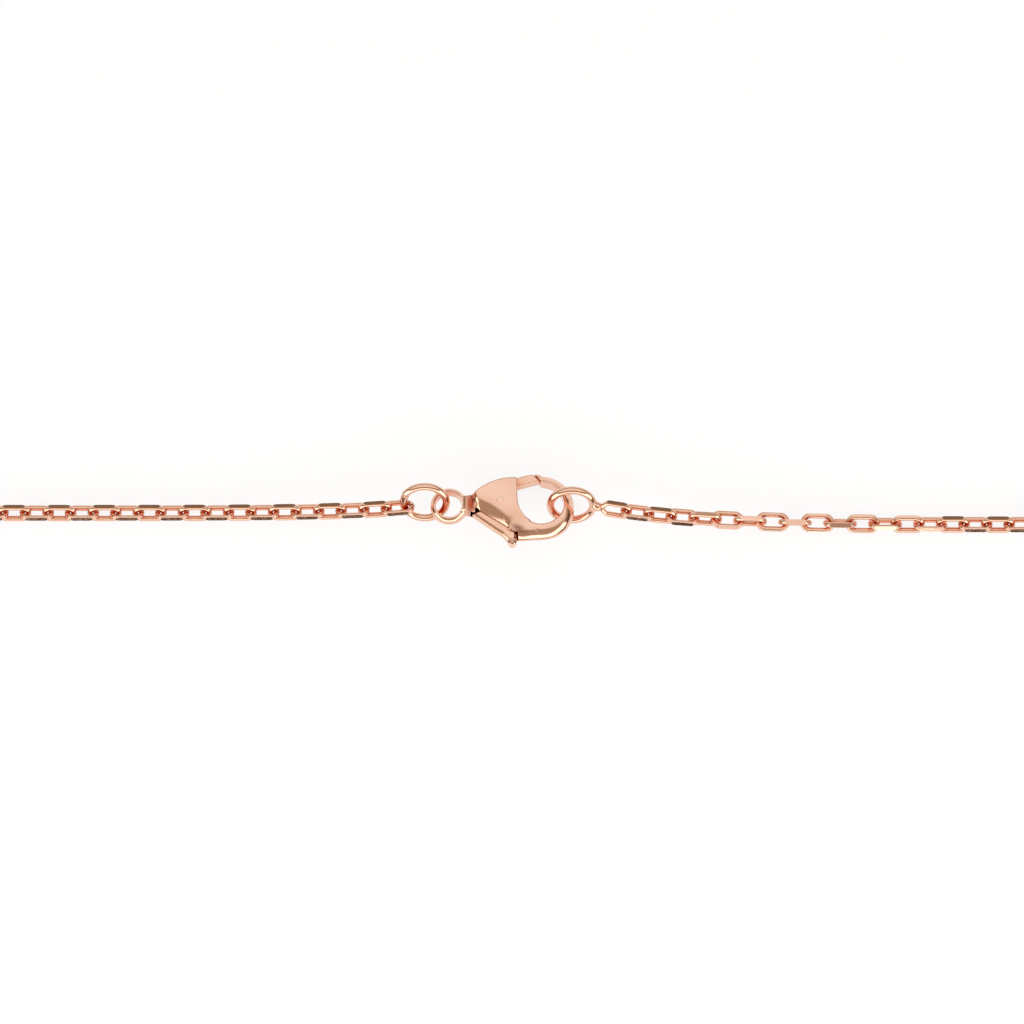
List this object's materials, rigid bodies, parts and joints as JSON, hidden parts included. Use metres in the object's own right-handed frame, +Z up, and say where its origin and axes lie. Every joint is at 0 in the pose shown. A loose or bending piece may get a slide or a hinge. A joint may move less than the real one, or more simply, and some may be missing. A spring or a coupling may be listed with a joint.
{
  "type": "chain necklace",
  "caption": "Fine cable chain necklace with cut side facets, closed by a sprung lobster clasp with a jump ring and a soldered end ring.",
  "frame": {"origin": "middle of the closed loop, on the table that it lies on", "axes": "+X along the strand that carries the clasp, from the tail ring towards the hook; +Y from the clasp across the loop; +Z up from the table"},
  "size_m": [0.1598, 0.0764, 0.0029],
  "materials": {
    "rose_gold_polished": "polished",
    "rose_gold_chain": "polished with bright-cut facets",
    "spring_steel": "drawn wire"
  },
  "bodies": {
    "front_chain": {"front_chain_left": "rose_gold_chain", "front_chain_right": "rose_gold_chain"},
    "clasp_body": {"clasp_body": "rose_gold_polished", "pivot_pin": "rose_gold_polished", "trigger_spring": "spring_steel"},
    "trigger": {"trigger": "rose_gold_polished"},
    "jump_ring": {"jump_ring": "rose_gold_polished"},
    "end_ring": {"end_ring": "rose_gold_polished", "link_right_01": "rose_gold_chain"},
    "link_left_01": {"link_left_01": "rose_gold_chain"},
    "link_left_02": {"link_left_02": "rose_gold_chain"},
    "link_left_03": {"link_left_03": "rose_gold_chain"},
    "link_left_04": {"link_left_04": "rose_gold_chain"},
    "link_left_05": {"link_left_05": "rose_gold_chain"},
    "link_left_06": {"link_left_06": "rose_gold_chain"},
    "link_left_07": {"link_left_07": "rose_gold_chain"},
    "link_left_08": {"link_left_08": "rose_gold_chain"},
    "link_left_09": {"link_left_09": "rose_gold_chain"},
    "link_left_10": {"link_left_10": "rose_gold_chain"},
    "link_left_11": {"link_left_11": "rose_gold_chain"},
    "link_left_12": {"link_left_12": "rose_gold_chain"},
    "link_left_13": {"link_left_13": "rose_gold_chain"},
    "link_left_14": {"link_left_14": "rose_gold_chain"},
    "link_left_15": {"link_left_15": "rose_gold_chain"},
    "link_left_16": {"link_left_16": "rose_gold_chain"},
    "link_left_17": {"link_left_17": "rose_gold_chain"},
    "link_left_18": {"link_left_18": "rose_gold_chain"},
    "link_right_02": {"link_right_02": "rose_gold_chain"},
    "link_right_03": {"link_right_03": "rose_gold_chain"},
    "link_right_04": {"link_right_04": "rose_gold_chain"},
    "link_right_05": {"link_right_05": "rose_gold_chain"},
    "link_right_06": {"link_right_06": "rose_gold_chain"},
    "link_right_07": {"link_right_07": "rose_gold_chain"},
    "link_right_08": {"link_right_08": "rose_gold_chain"},
    "link_right_09": {"link_right_09": "rose_gold_chain"},
    "link_right_10": {"link_right_10": "rose_gold_chain"},
    "link_right_11": {"link_right_11": "rose_gold_chain"},
    "link_right_12": {"link_right_12": "rose_gold_chain"},
    "link_right_13": {"link_right_13": "rose_gold_chain"},
    "link_right_14": {"link_right_14": "rose_gold_chain"},
    "link_right_15": {"link_right_15": "rose_gold_chain"},
    "link_right_16": {"link_right_16": "rose_gold_chain"},
    "link_right_17": {"link_right_17": "rose_gold_chain"},
    "link_right_18": {"link_right_18": "rose_gold_chain"},
    "link_right_19": {"link_right_19": "rose_gold_chain"},
    "arc_left_1": {"arc_left_1": "rose_gold_chain"},
    "turn_link_left_1": {"turn_link_left_1": "rose_gold_chain"},
    "turn_link_left_2": {"turn_link_left_2": "rose_gold_chain"},
    "arc_left_2": {"arc_left_2": "rose_gold_chain"},
    "arc_left_3": {"arc_left_3": "rose_gold_chain"},
    "arc_left_4": {"arc_left_4": "rose_gold_chain"},
    "arc_left_5": {"arc_left_5": "rose_gold_chain", "back_chain": "rose_gold_chain"},
    "arc_right_1": {"arc_right_1": "rose_gold_chain"},
    "turn_link_right_1": {"turn_link_right_1": "rose_gold_chain"},
    "turn_link_right_2": {"turn_link_right_2": "rose_gold_chain"},
    "arc_right_2": {"arc_right_2": "rose_gold_chain"},
    "arc_right_3": {"arc_right_3": "rose_gold_chain"},
    "arc_right_4": {"arc_right_4": "rose_gold_chain"},
    "arc_right_5": {"arc_right_5": "rose_gold_chain"}
  },
  "joints": [
    {"name": "clasp_roll", "type": "hinge", "parent": "front_chain", "child": "clasp_body", "pos_m": [-0.00035, -0.03544, 0.00145], "axis": [1, 0, 0], "range_deg": [-18, 8]},
    {"name": "clasp_trigger", "type": "hinge", "parent": "clasp_body", "child": "trigger", "pos_m": [-0.00035, -0.03544, 0.00145], "axis": [0, -0.3907, -0.9205], "range_deg": [0, 18], "stiffness_Nm_per_rad": 0.004, "springref_deg": -8.59, "deforming": ["trigger_spring"]},
    {"name": "jump_ring_roll", "type": "hinge", "parent": "front_chain", "child": "jump_ring", "pos_m": [-0.00622, -0.03546, 0.00125], "axis": [0.9847, 0.1231, 0.1231], "range_deg": [-8, 8]},
    {"name": "end_ring_roll", "type": "hinge", "parent": "front_chain", "child": "end_ring", "pos_m": [0.00772, -0.03575, 0.00144], "axis": [0.9934, -0.1147, -0.0038], "range_deg": [-15, 15]},
    {"name": "link_left_01_roll", "type": "hinge", "parent": "front_chain", "child": "link_left_01", "pos_m": [-0.00694, -0.03552, 0.00124], "axis": [0.9965, 0.0836, 0.0073], "range_deg": [-12, 12]},
    {"name": "link_left_02_roll", "type": "hinge", "parent": "front_chain", "child": "link_left_02", "pos_m": [-0.00839, -0.03563, 0.00122], "axis": [0.9981, 0.0584, 0.0205], "range_deg": [-12, 12]},
    {"name": "link_left_03_roll", "type": "hinge", "parent": "front_chain", "child": "link_left_03", "pos_m": [-0.00984, -0.0357, 0.00119], "axis": [0.9987, 0.0406, 0.0314], "range_deg": [-12, 12]},
    {"name": "link_left_04_roll", "type": "hinge", "parent": "front_chain", "child": "link_left_04", "pos_m": [-0.01129, -0.03575, 0.00113], "axis": [0.9988, 0.0283, 0.0402], "range_deg": [-12, 12]},
    {"name": "link_left_05_roll", "type": "hinge", "parent": "front_chain", "child": "link_left_05", "pos_m": [-0.01273, -0.03578, 0.00107], "axis": [0.9987, 0.0197, 0.0467], "range_deg": [-12, 12]},
    {"name": "link_left_06_roll", "type": "hinge", "parent": "front_chain", "child": "link_left_06", "pos_m": [-0.01418, -0.03581, 0.001], "axis": [0.9986, 0.0137, 0.0509], "range_deg": [-12, 12]},
    {"name": "link_left_07_roll", "type": "hinge", "parent": "front_chain", "child": "link_left_07", "pos_m": [-0.01563, -0.03583, 0.00093], "axis": [0.9986, 0.0095, 0.0529], "range_deg": [-12, 12]},
    {"name": "link_left_08_roll", "type": "hinge", "parent": "front_chain", "child": "link_left_08", "pos_m": [-0.01708, -0.03584, 0.00085], "axis": [0.9986, 0.0067, 0.0527], "range_deg": [-12, 12]},
    {"name": "link_left_09_roll", "type": "hinge", "parent": "front_chain", "child": "link_left_09", "pos_m": [-0.01853, -0.03585, 0.00077], "axis": [0.9987, 0.0046, 0.0503], "range_deg": [-12, 12]},
    {"name": "link_left_10_roll", "type": "hinge", "parent": "front_chain", "child": "link_left_10", "pos_m": [-0.01997, -0.03585, 0.00071], "axis": [0.999, 0.0032, 0.0457], "range_deg": [-12, 12]},
    {"name": "link_left_11_roll", "type": "hinge", "parent": "front_chain", "child": "link_left_11", "pos_m": [-0.02142, -0.03585, 0.00064], "axis": [0.9992, 0.0022, 0.0388], "range_deg": [-12, 12]},
    {"name": "link_left_12_roll", "type": "hinge", "parent": "front_chain", "child": "link_left_12", "pos_m": [-0.02287, -0.03586, 0.00059], "axis": [0.9996, 0.0016, 0.0296], "range_deg": [-12, 12]},
    {"name": "link_left_13_roll", "type": "hinge", "parent": "front_chain", "child": "link_left_13", "pos_m": [-0.02432, -0.03586, 0.00056], "axis": [0.9998, 0.0011, 0.0182], "range_deg": [-12, 12]},
    {"name": "link_left_14_roll", "type": "hinge", "parent": "front_chain", "child": "link_left_14", "pos_m": [-0.02577, -0.03586, 0.00054], "axis": [1, 0.0008, 0.0049], "range_deg": [-12, 12]},
    {"name": "link_left_15_roll", "type": "hinge", "parent": "front_chain", "child": "link_left_15", "pos_m": [-0.02722, -0.03586, 0.00054], "axis": [1, 0.0005, 0], "range_deg": [-12, 12]},
    {"name": "link_left_16_roll", "type": "hinge", "parent": "front_chain", "child": "link_left_16", "pos_m": [-0.02867, -0.03586, 0.00054], "axis": [1, 0.0004, 0], "range_deg": [-12, 12]},
    {"name": "link_left_17_roll", "type": "hinge", "parent": "front_chain", "child": "link_left_17", "pos_m": [-0.03012, -0.03586, 0.00054], "axis": [1, 0.0002, 0], "range_deg": [-12, 12]},
    {"name": "link_left_18_roll", "type": "hinge", "parent": "front_chain", "child": "link_left_18", "pos_m": [-0.03157, -0.03586, 0.00054], "axis": [1, 0.0002, 0], "range_deg": [-12, 12]},
    {"name": "link_right_02_roll", "type": "hinge", "parent": "front_chain", "child": "link_right_02", "pos_m": [0.00844, -0.03584, 0.00142], "axis": [0.992, -0.1234, -0.0259], "range_deg": [-12, 12]},
    {"name": "link_right_03_roll", "type": "hinge", "parent": "front_chain", "child": "link_right_03", "pos_m": [0.00988, -0.036, 0.00137], "axis": [0.9943, -0.0984, -0.0399], "range_deg": [-12, 12]},
    {"name": "link_right_04_roll", "type": "hinge", "parent": "front_chain", "child": "link_right_04", "pos_m": [0.01132, -0.03613, 0.0013], "axis": [0.9956, -0.0783, -0.0511], "range_deg": [-12, 12]},
    {"name": "link_right_05_roll", "type": "hinge", "parent": "front_chain", "child": "link_right_05", "pos_m": [0.01276, -0.03623, 0.00122], "axis": [0.9963, -0.0623, -0.0595], "range_deg": [-12, 12]},
    {"name": "link_right_06_roll", "type": "hinge", "parent": "front_chain", "child": "link_right_06", "pos_m": [0.01421, -0.03631, 0.00113], "axis": [0.9967, -0.0496, -0.065], "range_deg": [-12, 12]},
    {"name": "link_right_07_roll", "type": "hinge", "parent": "front_chain", "child": "link_right_07", "pos_m": [0.01565, -0.03637, 0.00104], "axis": [0.9969, -0.0394, -0.0677], "range_deg": [-12, 12]},
    {"name": "link_right_08_roll", "type": "hinge", "parent": "front_chain", "child": "link_right_08", "pos_m": [0.0171, -0.03642, 0.00094], "axis": [0.9972, -0.0314, -0.0675], "range_deg": [-12, 12]},
    {"name": "link_right_09_roll", "type": "hinge", "parent": "front_chain", "child": "link_right_09", "pos_m": [0.01854, -0.03647, 0.00084], "axis": [0.9976, -0.0249, -0.0645], "range_deg": [-12, 12]},
    {"name": "link_right_10_roll", "type": "hinge", "parent": "front_chain", "child": "link_right_10", "pos_m": [0.01999, -0.0365, 0.00075], "axis": [0.9981, -0.0199, -0.0587], "range_deg": [-12, 12]},
    {"name": "link_right_11_roll", "type": "hinge", "parent": "front_chain", "child": "link_right_11", "pos_m": [0.02144, -0.03652, 0.00068], "axis": [0.9986, -0.0157, -0.05], "range_deg": [-12, 12]},
    {"name": "link_right_12_roll", "type": "hinge", "parent": "front_chain", "child": "link_right_12", "pos_m": [0.02289, -0.03654, 0.00061], "axis": [0.9992, -0.0126, -0.0384], "range_deg": [-12, 12]},
    {"name": "link_right_13_roll", "type": "hinge", "parent": "front_chain", "child": "link_right_13", "pos_m": [0.02434, -0.03656, 0.00057], "axis": [0.9997, -0.0099, -0.0239], "range_deg": [-12, 12]},
    {"name": "link_right_14_roll", "type": "hinge", "parent": "front_chain", "child": "link_right_14", "pos_m": [0.02579, -0.03657, 0.00054], "axis": [0.9999, -0.0079, -0.0067], "range_deg": [-12, 12]},
    {"name": "link_right_15_roll", "type": "hinge", "parent": "front_chain", "child": "link_right_15", "pos_m": [0.02724, -0.03658, 0.00054], "axis": [1, -0.0063, 0], "range_deg": [-12, 12]},
    {"name": "link_right_16_roll", "type": "hinge", "parent": "front_chain", "child": "link_right_16", "pos_m": [0.02869, -0.03659, 0.00054], "axis": [1, -0.005, 0], "range_deg": [-12, 12]},
    {"name": "link_right_17_roll", "type": "hinge", "parent": "front_chain", "child": "link_right_17", "pos_m": [0.03014, -0.0366, 0.00054], "axis": [1, -0.0039, 0], "range_deg": [-12, 12]},
    {"name": "link_right_18_roll", "type": "hinge", "parent": "front_chain", "child": "link_right_18", "pos_m": [0.03159, -0.0366, 0.00054], "axis": [1, -0.0032, 0], "range_deg": [-12, 12]},
    {"name": "link_right_19_roll", "type": "hinge", "parent": "front_chain", "child": "link_right_19", "pos_m": [0.03304, -0.0366, 0.00054], "axis": [1, 0.0043, 0], "range_deg": [-12, 12]},
    {"name": "chain_fold", "type": "hinge", "parent": "front_chain", "child": "arc_left_1", "pos_m": [-0.04244, -0.03614, 0.00054], "axis": [1, 0, 0], "range_deg": [0, 75]},
    {"name": "turn_left_1", "type": "hinge", "parent": "front_chain", "child": "turn_link_left_1", "pos_m": [-0.03954, -0.03614, 0.00054], "axis": [1, 0, 0], "range_deg": [0, 25]},
    {"name": "turn_left_2", "type": "hinge", "parent": "front_chain", "child": "turn_link_left_2", "pos_m": [-0.04099, -0.03614, 0.00054], "axis": [1, 0, 0], "range_deg": [0, 50]},
    {"name": "chain_squash", "type": "hinge", "parent": "arc_left_1", "child": "arc_left_2", "pos_m": [-0.06414, -0.02909, 0.00054], "axis": [0, 0, 1], "range_deg": [-22, 22]},
    {"name": "squash_left_3", "type": "hinge", "parent": "arc_left_2", "child": "arc_left_3", "pos_m": [-0.07756, -0.01063, 0.00054], "axis": [0, 0, 1], "range_deg": [-22, 22]},
    {"name": "squash_left_4", "type": "hinge", "parent": "arc_left_3", "child": "arc_left_4", "pos_m": [-0.07756, 0.01219, 0.00054], "axis": [0, 0, 1], "range_deg": [-22, 22]},
    {"name": "squash_left_5", "type": "hinge", "parent": "arc_left_4", "child": "arc_left_5", "pos_m": [-0.06414, 0.03066, 0.00054], "axis": [0, 0, 1], "range_deg": [-22, 22]},
    {"name": "fold_right", "type": "hinge", "parent": "front_chain", "child": "arc_right_1", "pos_m": [0.04244, -0.03614, 0.00054], "axis": [1, 0, 0], "range_deg": [0, 75]},
    {"name": "turn_right_1", "type": "hinge", "parent": "front_chain", "child": "turn_link_right_1", "pos_m": [0.03954, -0.03614, 0.00054], "axis": [1, 0, 0], "range_deg": [0, 25]},
    {"name": "turn_right_2", "type": "hinge", "parent": "front_chain", "child": "turn_link_right_2", "pos_m": [0.04099, -0.03614, 0.00054], "axis": [1, 0, 0], "range_deg": [0, 50]},
    {"name": "squash_right_2", "type": "hinge", "parent": "arc_right_1", "child": "arc_right_2", "pos_m": [0.06414, -0.02909, 0.00054], "axis": [0, 0, 1], "range_deg": [-22, 22]},
    {"name": "squash_right_3", "type": "hinge", "parent": "arc_right_2", "child": "arc_right_3", "pos_m": [0.07756, -0.01063, 0.00054], "axis": [0, 0, 1], "range_deg": [-22, 22]},
    {"name": "squash_right_4", "type": "hinge", "parent": "arc_right_3", "child": "arc_right_4", "pos_m": [0.07756, 0.01219, 0.00054], "axis": [0, 0, 1], "range_deg": [-22, 22]},
    {"name": "squash_right_5", "type": "hinge", "parent": "arc_right_4", "child": "arc_right_5", "pos_m": [0.06414, 0.03066, 0.00054], "axis": [0, 0, 1], "range_deg": [-22, 22]}
  ],
  "couplings": [
    {"joint": "turn_left_1", "follows": "chain_fold", "ratio": 0.33333},
    {"joint": "turn_left_2", "follows": "chain_fold", "ratio": 0.66667},
    {"joint": "squash_left_3", "follows": "chain_squash", "ratio": -1},
    {"joint": "squash_left_4", "follows": "chain_squash", "ratio": -1},
    {"joint": "squash_left_5", "follows": "chain_squash", "ratio": 1},
    {"joint": "fold_right", "follows": "chain_fold", "ratio": 1},
    {"joint": "turn_right_1", "follows": "chain_fold", "ratio": 0.33333},
    {"joint": "turn_right_2", "follows": "chain_fold", "ratio": 0.66667},
    {"joint": "squash_right_2", "follows": "chain_squash", "ratio": -1},
    {"joint": "squash_right_3", "follows": "chain_squash", "ratio": 1},
    {"joint": "squash_right_4", "follows": "chain_squash", "ratio": 1},
    {"joint": "squash_right_5", "follows": "chain_squash", "ratio": -1}
  ]
}
